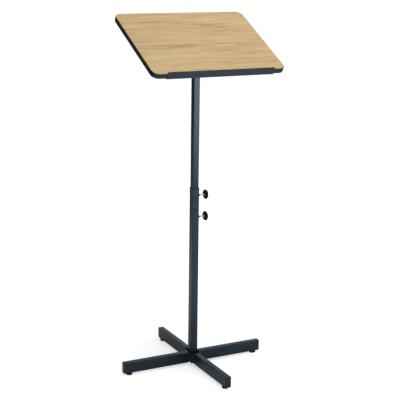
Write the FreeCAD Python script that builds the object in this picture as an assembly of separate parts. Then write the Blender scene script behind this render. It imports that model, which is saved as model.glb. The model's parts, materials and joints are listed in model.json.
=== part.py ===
import FreeCAD, Part
import math
import os

# Lectern podium: a sloping desk with a book stop, on a telescopic square column
# over a four-legged base. Millimetres, +Z up, origin on the floor under the column,
# the reader stands on the -Y side and +X is the reader's right.

Vector = FreeCAD.Vector
X_AXIS, Y_AXIS, Z_AXIS = Vector(1, 0, 0), Vector(0, 1, 0), Vector(0, 0, 1)

# Base
BASE_SPAN = 533.4            # tip to tip of opposite legs, caps included
LEG_WIDTH = 21.0
LEG_HEIGHT = 38.5
LEG_WALL = 1.5
LEG_CORNER = 2.0
CAP_FLANGE = 2.5
CAP_ROUND = 1.2
CAP_PLUG = 14.0
FOOT_HEIGHT = 8.0
FOOT_RADIUS = 11.0
FOOT_ROUND = 2.0             # round the rim that stands on the floor
FOOT_TOP_ROUND = 0.6
FOOT_INSET = 22.0            # from the leg's tip to the foot's centre
FOOT_POCKET_RADIUS = 4.8
FOOT_POCKET_DEPTH = 4.0
HUB_X = 39.0
HUB_Y = 64.0
HUB_WALL = 2.0
HUB_CORNER = 3.0
HUB_LIFT = 4.0               # the hub's underside above the legs' underside
HUB_PLATE = 3.0
SOCKET_HEIGHT = 18.0
SOCKET_WALL = 3.0
BASE_PLUG_HEIGHT = 20.0
BASE_WASHER_RADIUS = 10.0
BASE_BOLT_LENGTH = 24.0
WELD_LEG = 3.0
WELD_MIDDLE = 1.76           # the middle of a bead's face, measured along both legs
WELD_INSET = 2.0             # from the hub's rims to the ends of a bead

# Telescopic column
POST_SIZE = 25.4
POST_WALL = 1.25
POST_CORNER = 2.0
POST_TOP = 637.0
COLLAR_HEIGHT = 3.0
COLLAR_SKIRT = 4.0
COLLAR_WALL = 0.8
COLLAR_ROUND = 1.0
COLLAR_BORE_CORNER = 1.2
TUBE_SIZE = 22.2
TUBE_WALL = 1.2
TUBE_CORNER = 1.6
TUBE_BOTTOM = 457.0
TUBE_TOP = 1072.0
TUBE_PLUG_FLANGE = 2.0
TUBE_PLUG_ROUND = 0.8
TUBE_PLUG_DEPTH = 16.0

# Clamp screws through the post's right face
CLAMP_HEIGHTS = {"upper": 612.0, "lower": 535.5}
STUD_RADIUS = 3.1
STUD_HOLE_RADIUS = 3.175
NUT_FLATS = 11.1
NUT_HEIGHT = 5.6
STUD_CHAMFER = 0.6
PRESSURE_PLUG_RADIUS = 2.4
PRESSURE_PLUG_GAP = 0.3      # from the sliding tube, so that it can pass
STUD_TIP_X = 14.4
STUD_END_X = 45.0
KNOB_RADIUS = 16.75
KNOB_INNER_X = 38.6
KNOB_OUTER_X = 47.4
KNOB_INNER_ROUND = 3.2
KNOB_OUTER_ROUND = 4.2
KNOB_BOSS = 1.8
KNOB_BOSS_RADIUS = 6.5
KNOB_BOSS_TIP_RADIUS = 5.5

# Tilting head
PIVOT_HEIGHT = 1090.0
DESK_SLOPE = 27.5            # degrees, at rest
EAR_THICKNESS = 3.0
EAR_RADIUS = 13.0
EAR_FOOT_HALF = 8.0
EAR_FOOT_DROP = 52.0         # from the pivot to the ear's lower end
EAR_WELD = 2.4
DISC_THICKNESS = 1.0
DISC_RADIUS = 11.5
RUNNING_GAP = 0.3
PIN_RADIUS = 4.0
PIN_CLEARANCE = 0.08
BRACKET_THICKNESS = 2.5
BRACKET_EAR_RADIUS = 14.0
BRACKET_FOOT_WIDTH = 34.0
BRACKET_FOOT_LENGTH = 110.0
BRACKET_FOOT_CORNER = 5.0
BRACKET_EAR_INSET = 8.0      # from the foot's ends to the ear's
WASHER_THICKNESS = 1.6
WASHER_RADIUS = 8.5
BOLT_FLATS = 13.0
BOLT_HEAD = 5.3
BOLT_SPARE = 2.0             # the bolt's end past its nut
LOCK_NUT_HEIGHT = 8.0
LOCK_NUT_DOME = 2.0
LOCK_NUT_DOME_RADIUS = 5.85
LOCK_NUT_TOP_RADIUS = 4.7

# Desk top
DESK_WIDTH = 480.0
DESK_DEPTH = 361.0
DESK_THICKNESS = 17.5
DESK_CORNER = 25.4
DESK_ABOVE_PIVOT = 38.0      # underside of the desk, square to its surface
BACKER = 0.6
LAMINATE = 0.7
BAND_THICKNESS = 2.4
BAND_ROUND = 1.1
BAND_TONGUE_DEPTH = 7.0
BAND_TONGUE_THICKNESS = 1.6
STOP_LENGTH = 385.0
STOP_HEIGHT = 27.0
STOP_RETURN = 22.0
STOP_THICKNESS = 2.0
STOP_BEND = 2.8              # outside radius of the fold
STOP_CORNER = 3.0
STOP_SCREW_INSET = 13.0      # from the desk's edge

# Pan head screws, and the fits that several pieces share
SCREW_RADIUS = 2.0
SCREW_LENGTH = 13.0
SCREW_TIP = 1.8
SCREW_HEAD = 2.4
SCREW_HEAD_RADIUS = 4.0
SCREW_HEAD_RIM = 1.1
SCREW_CROWN_RADIUS = 2.9
SCREW_SLOT_LENGTH = 4.6
SCREW_SLOT_WIDTH = 0.9
SCREW_SLOT_DEPTH = 1.3
PILOT_SPARE = 1.0            # a pilot hole's depth past its screw's tip
CLOSE_FIT = 0.05             # radial, where a hole grips its screw or bolt
HOLE_CLEARANCE = 0.2         # radial, where a screw or bolt passes freely
PLUG_FIT = 0.1               # across, between a plug and its tube
PLUG_WALL = 2.0
PLUG_CORNER = 0.8
PLUG_POCKET_CORNER = 0.6
LEAST_CORNER = 0.5           # inside a thin tube whose outside corners are tight
HEX_EASE = 0.14              # share of a hexagon's corner radius that its cone takes off
NEAR = 1e-6

BRACKET_SCREWS = [(side * across, along) for side in (-1, 1) for across, along in
                  ((42.0, -44.0), (34.0, 0.0), (42.0, 44.0))]
STOP_SCREWS = [(across, -DESK_DEPTH / 2 + STOP_SCREW_INSET) for across in (-160.0, 0.0, 160.0)]
LEG_DIRECTIONS = {"right": (0, HUB_X / 2), "rear": (90, HUB_Y / 2),
                  "left": (180, HUB_X / 2), "front": (270, HUB_Y / 2)}

LEG_TOP = FOOT_HEIGHT + LEG_HEIGHT
LEG_MIDDLE = FOOT_HEIGHT + LEG_HEIGHT / 2
HUB_BOTTOM = FOOT_HEIGHT + HUB_LIFT
POST_BOTTOM = HUB_BOTTOM + HUB_PLATE
BRACKET_X = TUBE_SIZE / 2 + EAR_THICKNESS + DISC_THICKNESS + RUNNING_GAP
WASHER_X = BRACKET_X + BRACKET_THICKNESS


def cylinder(radius, length, start, direction=Z_AXIS):
    return Part.makeCylinder(radius, length, start, direction)


def rounded_bar(size_x, size_y, length, corner, start_z=0.0):
    """An upright bar of rounded rectangular section, centred on the Z axis."""
    box = Part.makeBox(size_x, size_y, length, Vector(-size_x / 2, -size_y / 2, start_z))
    upright = [edge for edge in box.Edges
               if abs(edge.Vertexes[0].Z - edge.Vertexes[1].Z) > length / 2]
    return box.makeFillet(corner, upright)


def rounded_tube(size_x, size_y, wall, length, corner, start_z=0.0):
    inner_corner = max(corner - wall, LEAST_CORNER)
    outer = rounded_bar(size_x, size_y, length, corner, start_z)
    return outer.cut(rounded_bar(size_x - 2 * wall, size_y - 2 * wall, length,
                                 inner_corner, start_z))


def round_rims(shape, height, radius):
    """Round every edge that lies flat at this height."""
    rim = [edge for edge in shape.Edges
           if all(abs(vertex.Z - height) < NEAR for vertex in edge.Vertexes)]
    return shape.makeFillet(radius, rim)


def hex_prism(flats, height, hole_radius=0.0):
    """A hexagon on the Z axis with its corners eased by a cone, as on a turned nut."""
    corner_radius = flats / math.sqrt(3)
    points = [Vector(corner_radius * math.cos(math.radians(60 * i)),
                     corner_radius * math.sin(math.radians(60 * i)), 0) for i in range(7)]
    prism = Part.Face(Part.makePolygon(points)).extrude(Vector(0, 0, height))
    ease = corner_radius * HEX_EASE
    cone = Part.makeCone(corner_radius + height - ease, corner_radius - ease, height)
    prism = prism.common(cone)
    if hole_radius:
        prism = prism.cut(cylinder(hole_radius, height, Vector(0, 0, 0)))
    return prism


def turned(profile):
    """A solid of revolution about Z from (radius, height) points on and off the axis."""
    points = [Vector(radius, 0, height) for radius, height in profile]
    face = Part.Face(Part.makePolygon(points + points[:1]))
    return face.revolve(Vector(0, 0, 0), Z_AXIS, 360)


def turn_about_z(shape, degrees):
    return shape.rotated(Vector(0, 0, 0), Z_AXIS, degrees)


def lay_along_x(shape, start_x=0.0, height=0.0, flip=False):
    """Turn a shape that stands on Z = 0 so that it runs along +X, or along -X."""
    laid = shape.rotated(Vector(0, 0, 0), Y_AXIS, -90 if flip else 90)
    return laid.translated(Vector(start_x, 0, height))


def tilt_to_desk(shape):
    """From the desk's own flat frame, with the pivot at its origin, to its slope."""
    sloped = shape.rotated(Vector(0, 0, 0), X_AXIS, DESK_SLOPE)
    return sloped.translated(Vector(0, 0, PIVOT_HEIGHT))


def pan_head_screw():
    """A screw pointing up +Z, the underside of its cross-slotted head at Z = 0."""
    screw = turned([(0, SCREW_LENGTH), (SCREW_RADIUS, SCREW_LENGTH - SCREW_TIP),
                    (SCREW_RADIUS, 0), (SCREW_HEAD_RADIUS, 0),
                    (SCREW_HEAD_RADIUS, -SCREW_HEAD_RIM),
                    (SCREW_CROWN_RADIUS, -SCREW_HEAD), (0, -SCREW_HEAD)])
    for size_x, size_y in ((SCREW_SLOT_LENGTH, SCREW_SLOT_WIDTH),
                           (SCREW_SLOT_WIDTH, SCREW_SLOT_LENGTH)):
        corner = Vector(-size_x / 2, -size_y / 2, -SCREW_HEAD)
        screw = screw.cut(Part.makeBox(size_x, size_y, SCREW_SLOT_DEPTH, corner))
    return screw


def moulded_plug(size_x, size_y, wall, corner, flange, flange_round, depth):
    """A hollow plug that points down a tube of this outside size, its flange above Z = 0."""
    plug_x, plug_y = size_x - 2 * wall - PLUG_FIT, size_y - 2 * wall - PLUG_FIT
    top = round_rims(rounded_bar(size_x, size_y, flange, corner), flange, flange_round)
    plug = rounded_bar(plug_x, plug_y, depth, PLUG_CORNER, -depth)
    pocket = rounded_bar(plug_x - 2 * PLUG_WALL, plug_y - 2 * PLUG_WALL, depth,
                         PLUG_POCKET_CORNER, -depth)
    return top.fuse(plug.cut(pocket)).removeSplitter()


# ---------------------------------------------------------------- base

def leg(direction):
    degrees, start = LEG_DIRECTIONS[direction]
    length = BASE_SPAN / 2 - CAP_FLANGE - start
    tube = lay_along_x(rounded_tube(LEG_HEIGHT, LEG_WIDTH, LEG_WALL, length, LEG_CORNER),
                       start, LEG_MIDDLE)
    foot_x = BASE_SPAN / 2 - FOOT_INSET
    hole = cylinder(SCREW_RADIUS + CLOSE_FIT, LEG_WALL, Vector(foot_x, 0, FOOT_HEIGHT))
    return turn_about_z(tube.cut(hole), degrees)


def leg_cap(direction):
    cap = moulded_plug(LEG_HEIGHT, LEG_WIDTH, LEG_WALL, LEG_CORNER, CAP_FLANGE, CAP_ROUND,
                       CAP_PLUG)
    cap = lay_along_x(cap, BASE_SPAN / 2 - CAP_FLANGE, LEG_MIDDLE)
    return turn_about_z(cap, LEG_DIRECTIONS[direction][0])


def foot_place(direction, height):
    angle = math.radians(LEG_DIRECTIONS[direction][0])
    reach = BASE_SPAN / 2 - FOOT_INSET
    return Vector(reach * math.cos(angle), reach * math.sin(angle), height)


def foot_glide(direction):
    disc = cylinder(FOOT_RADIUS, FOOT_HEIGHT, Vector(0, 0, 0))
    disc = round_rims(round_rims(disc, 0, FOOT_ROUND), FOOT_HEIGHT, FOOT_TOP_ROUND)
    disc = disc.cut(cylinder(FOOT_POCKET_RADIUS, FOOT_POCKET_DEPTH, Vector(0, 0, 0)))
    disc = disc.cut(cylinder(SCREW_RADIUS + CLOSE_FIT, FOOT_HEIGHT, Vector(0, 0, 0)))
    return disc.translated(foot_place(direction, 0))


def foot_screws():
    screw = pan_head_screw()
    return [screw.translated(foot_place(direction, FOOT_POCKET_DEPTH))
            for direction in LEG_DIRECTIONS]


def hub_sleeve():
    return rounded_tube(HUB_X, HUB_Y, HUB_WALL, LEG_TOP - HUB_BOTTOM, HUB_CORNER, HUB_BOTTOM)


def hub_plate():
    plate = rounded_bar(HUB_X - 2 * HUB_WALL, HUB_Y - 2 * HUB_WALL, HUB_PLATE,
                        HUB_CORNER - HUB_WALL, HUB_BOTTOM)
    return plate.cut(cylinder(PIN_RADIUS + HOLE_CLEARANCE, HUB_PLATE, Vector(0, 0, HUB_BOTTOM)))


def post_socket():
    """A short square collar on the hub plate that keeps the post from turning."""
    inside = POST_SIZE + PLUG_FIT
    outside = inside + 2 * SOCKET_WALL
    socket = Part.makeBox(outside, outside, SOCKET_HEIGHT,
                          Vector(-outside / 2, -outside / 2, POST_BOTTOM))
    return socket.cut(rounded_bar(inside, inside, SOCKET_HEIGHT, POST_CORNER, POST_BOTTOM))


def weld_bead(length):
    """An upright fillet bead in the corner of the +X and +Y faces, slightly crowned."""
    arc = Part.Arc(Vector(WELD_LEG, 0, 0), Vector(WELD_MIDDLE, WELD_MIDDLE, 0),
                   Vector(0, WELD_LEG, 0)).toShape()
    sides = Part.makePolygon([Vector(0, WELD_LEG, 0), Vector(0, 0, 0), Vector(WELD_LEG, 0, 0)])
    face = Part.Face(Part.Wire([arc] + sides.Edges))
    return face.extrude(Vector(0, 0, length))


def hub_welds():
    beads = []
    length = LEG_TOP - HUB_BOTTOM - 2 * WELD_INSET
    for degrees, start in LEG_DIRECTIONS.values():
        corner = Vector(start, LEG_WIDTH / 2, HUB_BOTTOM + WELD_INSET)
        bead = weld_bead(length).translated(corner)
        other = bead.mirror(Vector(0, 0, 0), Y_AXIS)
        beads += [turn_about_z(bead, degrees), turn_about_z(other, degrees)]
    return beads


def lower_post():
    post = rounded_tube(POST_SIZE, POST_SIZE, POST_WALL, POST_TOP - POST_BOTTOM,
                        POST_CORNER, POST_BOTTOM)
    for height in CLAMP_HEIGHTS.values():
        post = post.cut(cylinder(STUD_HOLE_RADIUS, POST_SIZE, Vector(0, 0, height), X_AXIS))
    return post


def post_top_collar():
    inside = POST_SIZE - 2 * POST_WALL
    outside = POST_SIZE + 2 * COLLAR_WALL
    top = POST_TOP + COLLAR_HEIGHT
    ring = rounded_bar(outside, outside, COLLAR_HEIGHT + COLLAR_SKIRT,
                       POST_CORNER + COLLAR_WALL, POST_TOP - COLLAR_SKIRT)
    ring = round_rims(ring, top, COLLAR_ROUND)
    ring = ring.cut(rounded_bar(POST_SIZE, POST_SIZE, COLLAR_SKIRT, POST_CORNER,
                                POST_TOP - COLLAR_SKIRT))
    return ring.cut(rounded_bar(inside, inside, COLLAR_HEIGHT, COLLAR_BORE_CORNER, POST_TOP))


def post_base_plug():
    """A threaded block in the foot of the post, which the bolt pulls down."""
    size = POST_SIZE - 2 * POST_WALL - PLUG_FIT
    plug = rounded_bar(size, size, BASE_PLUG_HEIGHT, PLUG_CORNER, POST_BOTTOM)
    return plug.cut(cylinder(PIN_RADIUS + CLOSE_FIT, BASE_PLUG_HEIGHT, Vector(0, 0, POST_BOTTOM)))


def post_bolt_washer():
    seat = Vector(0, 0, HUB_BOTTOM - WASHER_THICKNESS)
    disc = cylinder(BASE_WASHER_RADIUS, WASHER_THICKNESS, seat)
    return disc.cut(cylinder(PIN_RADIUS + HOLE_CLEARANCE, WASHER_THICKNESS, seat))


def post_bolt():
    head = hex_prism(BOLT_FLATS, BOLT_HEAD).mirror(Vector(0, 0, 0), Z_AXIS)
    bolt = head.fuse(cylinder(PIN_RADIUS, BASE_BOLT_LENGTH, Vector(0, 0, 0))).removeSplitter()
    return bolt.translated(Vector(0, 0, HUB_BOTTOM - WASHER_THICKNESS))


def clamp_nut(height):
    return lay_along_x(hex_prism(NUT_FLATS, NUT_HEIGHT, STUD_HOLE_RADIUS), POST_SIZE / 2, height)


# ---------------------------------------------------------------- column

def upper_tube():
    return rounded_tube(TUBE_SIZE, TUBE_SIZE, TUBE_WALL, TUBE_TOP - TUBE_BOTTOM,
                        TUBE_CORNER, TUBE_BOTTOM)


def tube_plug():
    return moulded_plug(TUBE_SIZE, TUBE_SIZE, TUBE_WALL, TUBE_CORNER, TUBE_PLUG_FLANGE,
                        TUBE_PLUG_ROUND, TUBE_PLUG_DEPTH)


def column_top_plug():
    return tube_plug().translated(Vector(0, 0, TUBE_TOP))


def column_bottom_plug():
    return tube_plug().mirror(Vector(0, 0, 0), Z_AXIS).translated(Vector(0, 0, TUBE_BOTTOM))


def ear_outline(radius, half_foot, drop):
    """A plate outline in the YZ plane: round about the pivot, tapering to a foot."""
    reach = math.hypot(half_foot, drop)
    spread = math.asin(half_foot / reach) + math.acos(radius / reach)
    side = Vector(0, radius * math.sin(spread), -radius * math.cos(spread))
    mirrored = Vector(0, -side.y, side.z)
    arc = Part.Arc(side, Vector(0, 0, radius), mirrored).toShape()
    foot = Part.makePolygon([mirrored, Vector(0, -half_foot, -drop),
                             Vector(0, half_foot, -drop), side])
    return Part.Face(Part.Wire([arc] + foot.Edges))


def column_ear(side):
    """A plate on the tube's side face that carries the tilt bolt."""
    plate = ear_outline(EAR_RADIUS, EAR_FOOT_HALF, EAR_FOOT_DROP)
    plate = plate.extrude(Vector(EAR_THICKNESS, 0, 0))
    plate = plate.cut(cylinder(PIN_RADIUS + PIN_CLEARANCE, EAR_THICKNESS,
                               Vector(0, 0, 0), X_AXIS))
    inner_x = TUBE_SIZE / 2 if side > 0 else -TUBE_SIZE / 2 - EAR_THICKNESS
    return plate.translated(Vector(inner_x, 0, PIVOT_HEIGHT))


def ear_welds():
    """A bead under the foot of each ear, along the tube's face."""
    profile = Part.makePolygon([Vector(0, 0, 0), Vector(EAR_WELD, 0, 0),
                                Vector(0, 0, -EAR_WELD), Vector(0, 0, 0)])
    bead = Part.Face(profile).extrude(Vector(0, 2 * EAR_FOOT_HALF, 0))
    bead = bead.translated(Vector(TUBE_SIZE / 2, -EAR_FOOT_HALF, PIVOT_HEIGHT - EAR_FOOT_DROP))
    return [bead, bead.mirror(Vector(0, 0, 0), X_AXIS)]


def disc_on_pivot(radius, hole_radius, thickness, inner_x):
    """A pair of discs on the tilt axis, one each side of the column."""
    disc = cylinder(radius, thickness, Vector(0, 0, 0), X_AXIS)
    disc = disc.cut(cylinder(hole_radius, thickness, Vector(0, 0, 0), X_AXIS))
    disc = disc.translated(Vector(inner_x, 0, PIVOT_HEIGHT))
    return [disc, disc.mirror(Vector(0, 0, 0), X_AXIS)]


def friction_discs():
    inner_x = TUBE_SIZE / 2 + EAR_THICKNESS
    return disc_on_pivot(DISC_RADIUS, PIN_RADIUS + RUNNING_GAP, DISC_THICKNESS, inner_x)


# ---------------------------------------------------------------- desk

def desk_bracket(side):
    """An angle under the desk: a foot screwed to it and an ear down past the pivot."""
    ear_top = DESK_ABOVE_PIVOT - BRACKET_THICKNESS
    half_ear = BRACKET_FOOT_LENGTH / 2 - BRACKET_EAR_INSET
    ear = ear_outline(BRACKET_EAR_RADIUS, half_ear, ear_top)
    ear = ear.mirror(Vector(0, 0, 0), Z_AXIS).extrude(Vector(BRACKET_THICKNESS, 0, 0))
    foot = rounded_bar(BRACKET_FOOT_WIDTH, BRACKET_FOOT_LENGTH, BRACKET_THICKNESS,
                       BRACKET_FOOT_CORNER)
    foot = foot.translated(Vector(BRACKET_FOOT_WIDTH / 2, 0, ear_top))
    bracket = ear.fuse(foot).removeSplitter()
    bracket = bracket.cut(cylinder(PIN_RADIUS + CLOSE_FIT, BRACKET_THICKNESS,
                                   Vector(0, 0, 0), X_AXIS))
    bracket = bracket.translated(Vector(BRACKET_X, 0, 0))
    for across, along in BRACKET_SCREWS:
        bracket = bracket.cut(cylinder(SCREW_RADIUS + HOLE_CLEARANCE, BRACKET_THICKNESS,
                                       Vector(abs(across), along, ear_top)))
    if side < 0:
        bracket = bracket.mirror(Vector(0, 0, 0), X_AXIS)
    return tilt_to_desk(bracket)


def desk_slab(inset, thickness, start):
    """A slice of the desk: its outline moved in by inset, start above its underside."""
    return rounded_bar(DESK_WIDTH - 2 * inset, DESK_DEPTH - 2 * inset, thickness,
                       DESK_CORNER - inset, DESK_ABOVE_PIVOT + start)


def tongue_slab(inset):
    start = (DESK_THICKNESS - BAND_TONGUE_THICKNESS) / 2
    return desk_slab(inset, BAND_TONGUE_THICKNESS, start)


def cut_pilot_holes(shape):
    """Pilot holes for the screws that come up through the desk's underside."""
    depth = SCREW_LENGTH - min(BRACKET_THICKNESS, STOP_THICKNESS) + PILOT_SPARE
    for across, along in BRACKET_SCREWS + STOP_SCREWS:
        shape = shape.cut(cylinder(SCREW_RADIUS + CLOSE_FIT, depth,
                                   Vector(across, along, DESK_ABOVE_PIVOT)))
    return shape


def desk_core():
    core = desk_slab(BAND_THICKNESS, DESK_THICKNESS - BACKER - LAMINATE, BACKER)
    groove = tongue_slab(BAND_THICKNESS).cut(tongue_slab(BAND_THICKNESS + BAND_TONGUE_DEPTH))
    return tilt_to_desk(cut_pilot_holes(core.cut(groove)))


def desk_laminate():
    return tilt_to_desk(desk_slab(BAND_THICKNESS, LAMINATE, DESK_THICKNESS - LAMINATE))


def desk_backer():
    return tilt_to_desk(cut_pilot_holes(desk_slab(BAND_THICKNESS, BACKER, 0)))


def edge_band():
    """A T-section moulding round the desk: a crowned face and a tongue in the core."""
    band = desk_slab(0, DESK_THICKNESS, 0)
    for height in (DESK_ABOVE_PIVOT, DESK_ABOVE_PIVOT + DESK_THICKNESS):
        band = round_rims(band, height, BAND_ROUND)
    band = band.cut(desk_slab(BAND_THICKNESS, DESK_THICKNESS, 0))
    tongue = tongue_slab(BAND_THICKNESS).cut(tongue_slab(BAND_THICKNESS + BAND_TONGUE_DEPTH))
    return tilt_to_desk(band.fuse(tongue).removeSplitter())


def book_stop():
    """An angle under the reader's edge, with a lip that stands up past the desk's surface."""
    front = -DESK_DEPTH / 2 - STOP_THICKNESS
    bottom = DESK_ABOVE_PIVOT - STOP_THICKNESS
    surface = DESK_ABOVE_PIVOT + DESK_THICKNESS
    outer = Part.makeBox(STOP_LENGTH, STOP_RETURN, surface - bottom,
                         Vector(-STOP_LENGTH / 2, front, bottom))
    inner = Part.makeBox(STOP_LENGTH, STOP_RETURN, surface - bottom,
                         Vector(-STOP_LENGTH / 2, front + STOP_THICKNESS,
                                bottom + STOP_THICKNESS))
    angle = outer.cut(inner)
    bend = [edge for edge in angle.Edges
            if all(abs(vertex.Y - front) < NEAR and abs(vertex.Z - bottom) < NEAR
                   for vertex in edge.Vertexes)]
    angle = angle.makeFillet(STOP_BEND, bend)
    for across, along in STOP_SCREWS:
        angle = angle.cut(cylinder(SCREW_RADIUS + HOLE_CLEARANCE, STOP_THICKNESS,
                                   Vector(across, along, bottom)))
    top = bottom + STOP_HEIGHT
    lip = Part.makeBox(STOP_LENGTH, STOP_THICKNESS, top - surface,
                       Vector(-STOP_LENGTH / 2, front, surface))
    tips = [edge for edge in lip.Edges
            if abs(edge.Length - STOP_THICKNESS) < NEAR
            and all(abs(vertex.Z - top) < NEAR for vertex in edge.Vertexes)]
    lip = lip.makeFillet(STOP_CORNER, tips)
    # the faces stay divided at the desk's surface: a book rests on the strip above it alone
    return tilt_to_desk(angle.fuse(lip))


def desk_screws(places, plate_thickness):
    """Screws that come up through a plate under the desk."""
    screw = pan_head_screw()
    seat = DESK_ABOVE_PIVOT - plate_thickness
    return [tilt_to_desk(screw.translated(Vector(across, along, seat)))
            for across, along in places]


def tilt_washers():
    return disc_on_pivot(WASHER_RADIUS, PIN_RADIUS + CLOSE_FIT, WASHER_THICKNESS, WASHER_X)


def tilt_bolt():
    seat = WASHER_X + WASHER_THICKNESS
    length = 2 * seat + LOCK_NUT_HEIGHT + BOLT_SPARE
    shank = cylinder(PIN_RADIUS, length, Vector(-seat, 0, 0), X_AXIS)
    head = lay_along_x(hex_prism(BOLT_FLATS, BOLT_HEAD), -seat, flip=True)
    return head.fuse(shank).removeSplitter().translated(Vector(0, 0, PIVOT_HEIGHT))


def tilt_lock_nut():
    shoulder = LOCK_NUT_HEIGHT - LOCK_NUT_DOME
    dome = turned([(0, LOCK_NUT_HEIGHT), (LOCK_NUT_TOP_RADIUS, LOCK_NUT_HEIGHT),
                   (LOCK_NUT_DOME_RADIUS, shoulder), (0, shoulder)])
    nut = hex_prism(BOLT_FLATS, shoulder).fuse(dome).removeSplitter()
    nut = nut.cut(cylinder(PIN_RADIUS + CLOSE_FIT, LOCK_NUT_HEIGHT, Vector(0, 0, 0)))
    return lay_along_x(nut, WASHER_X + WASHER_THICKNESS, PIVOT_HEIGHT)


# ---------------------------------------------------------------- clamp screws

def pressure_plug(height):
    """A nylon plug between the stud's tip and the tube."""
    start = TUBE_SIZE / 2 + PRESSURE_PLUG_GAP
    return cylinder(PRESSURE_PLUG_RADIUS, STUD_TIP_X - CLOSE_FIT - start,
                    Vector(start, 0, height), X_AXIS)


def clamp_stud(height):
    length = STUD_END_X - STUD_TIP_X
    profile = [(0, 0), (STUD_RADIUS - STUD_CHAMFER, 0), (STUD_RADIUS, STUD_CHAMFER),
               (STUD_RADIUS, length), (0, length)]
    return lay_along_x(turned(profile), STUD_TIP_X, height)


def clamp_knob(height):
    """A thick round knob, rounded at both rims, with a boss round its stud."""
    thickness = KNOB_OUTER_X - KNOB_INNER_X
    disc = cylinder(KNOB_RADIUS, thickness, Vector(0, 0, 0))
    disc = round_rims(round_rims(disc, 0, KNOB_INNER_ROUND), thickness, KNOB_OUTER_ROUND)
    boss = turned([(0, 0), (KNOB_BOSS_RADIUS, 0), (KNOB_BOSS_TIP_RADIUS, -KNOB_BOSS),
                   (0, -KNOB_BOSS)])
    knob = disc.fuse(boss).removeSplitter()
    depth = STUD_END_X - KNOB_INNER_X + KNOB_BOSS
    knob = knob.cut(cylinder(STUD_RADIUS, depth, Vector(0, 0, -KNOB_BOSS)))
    return lay_along_x(knob, KNOB_INNER_X, height)


def all_nodes():
    nodes = {
        "hub_sleeve": hub_sleeve(),
        "hub_plate": hub_plate(),
        "hub_welds": hub_welds(),
        "post_socket": post_socket(),
        "post_base_plug": post_base_plug(),
        "post_bolt": post_bolt(),
        "post_bolt_washer": post_bolt_washer(),
        "lower_post": lower_post(),
        "post_top_collar": post_top_collar(),
        "foot_screws": foot_screws(),
        "upper_tube": upper_tube(),
        "column_top_plug": column_top_plug(),
        "column_bottom_plug": column_bottom_plug(),
        "column_ear_left": column_ear(-1),
        "column_ear_right": column_ear(1),
        "ear_welds": ear_welds(),
        "friction_discs": friction_discs(),
        "desk_core": desk_core(),
        "desk_laminate": desk_laminate(),
        "desk_backer": desk_backer(),
        "edge_band": edge_band(),
        "book_stop": book_stop(),
        "book_stop_screws": desk_screws(STOP_SCREWS, STOP_THICKNESS),
        "desk_bracket_left": desk_bracket(-1),
        "desk_bracket_right": desk_bracket(1),
        "bracket_screws": desk_screws(BRACKET_SCREWS, BRACKET_THICKNESS),
        "tilt_bolt": tilt_bolt(),
        "tilt_lock_nut": tilt_lock_nut(),
        "tilt_washers": tilt_washers(),
    }
    for direction in LEG_DIRECTIONS:
        nodes["leg_" + direction] = leg(direction)
        nodes["leg_cap_" + direction] = leg_cap(direction)
        nodes["foot_glide_" + direction] = foot_glide(direction)
    for name, height in CLAMP_HEIGHTS.items():
        nodes["clamp_nut_" + name] = clamp_nut(height)
        nodes["pressure_plug_" + name] = pressure_plug(height)
        nodes["clamp_stud_" + name] = clamp_stud(height)
        nodes["clamp_knob_" + name] = clamp_knob(height)
    return nodes


def export(name, shape):
    solids = []
    for piece in shape if isinstance(shape, list) else [shape]:
        solids += piece.Solids
    for solid in solids:
        if not solid.isValid() or not solid.isClosed() or solid.Volume <= 0:
            raise ValueError(name + " is not a closed solid")
    result = solids[0] if len(solids) == 1 else Part.makeCompound(solids)
    result.exportStep(os.path.join("parts", name + ".step"))
    box = result.BoundBox
    print("%-20s %2d solids %9.0f mm3  x %7.1f %7.1f  y %7.1f %7.1f  z %7.1f %7.1f" % (
        name, len(solids), sum(solid.Volume for solid in solids),
        box.XMin, box.XMax, box.YMin, box.YMax, box.ZMin, box.ZMax))


os.makedirs("parts", exist_ok=True)
for node_name, node_shape in all_nodes().items():
    export(node_name, node_shape)
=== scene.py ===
import json
import math

import bmesh
import bpy
from mathutils import Matrix, Vector


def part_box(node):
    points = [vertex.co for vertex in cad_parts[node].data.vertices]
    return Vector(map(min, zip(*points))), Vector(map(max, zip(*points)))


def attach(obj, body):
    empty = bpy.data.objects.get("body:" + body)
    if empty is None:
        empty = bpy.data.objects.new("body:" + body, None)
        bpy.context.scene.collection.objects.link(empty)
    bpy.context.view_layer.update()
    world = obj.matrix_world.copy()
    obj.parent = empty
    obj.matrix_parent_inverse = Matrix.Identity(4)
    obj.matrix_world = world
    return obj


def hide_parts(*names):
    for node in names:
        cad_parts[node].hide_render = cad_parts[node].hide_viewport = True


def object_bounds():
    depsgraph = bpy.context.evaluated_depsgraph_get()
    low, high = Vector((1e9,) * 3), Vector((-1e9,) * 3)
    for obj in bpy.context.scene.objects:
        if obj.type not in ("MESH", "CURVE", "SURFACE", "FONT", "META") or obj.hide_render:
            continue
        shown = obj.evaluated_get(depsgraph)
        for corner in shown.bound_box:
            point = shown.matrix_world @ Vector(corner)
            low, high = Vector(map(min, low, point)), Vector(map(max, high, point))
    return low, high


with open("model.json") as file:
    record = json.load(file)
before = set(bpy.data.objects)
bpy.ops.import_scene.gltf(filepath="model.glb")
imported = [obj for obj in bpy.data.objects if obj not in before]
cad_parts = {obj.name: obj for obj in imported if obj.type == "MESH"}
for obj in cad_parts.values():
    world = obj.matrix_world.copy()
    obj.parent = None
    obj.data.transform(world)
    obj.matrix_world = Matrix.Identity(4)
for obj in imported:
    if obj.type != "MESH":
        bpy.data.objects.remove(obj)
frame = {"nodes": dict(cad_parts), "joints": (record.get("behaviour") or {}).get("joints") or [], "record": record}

# The looks of the lectern podium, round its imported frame. Metres, +Z up; the reader stands
# on the -Y side and +X is the reader's right. Every mesh is made where it rests, so its
# object coordinates are the frame's own.

cad_low, cad_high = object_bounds()
scene = bpy.context.scene
record = frame["record"]

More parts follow.
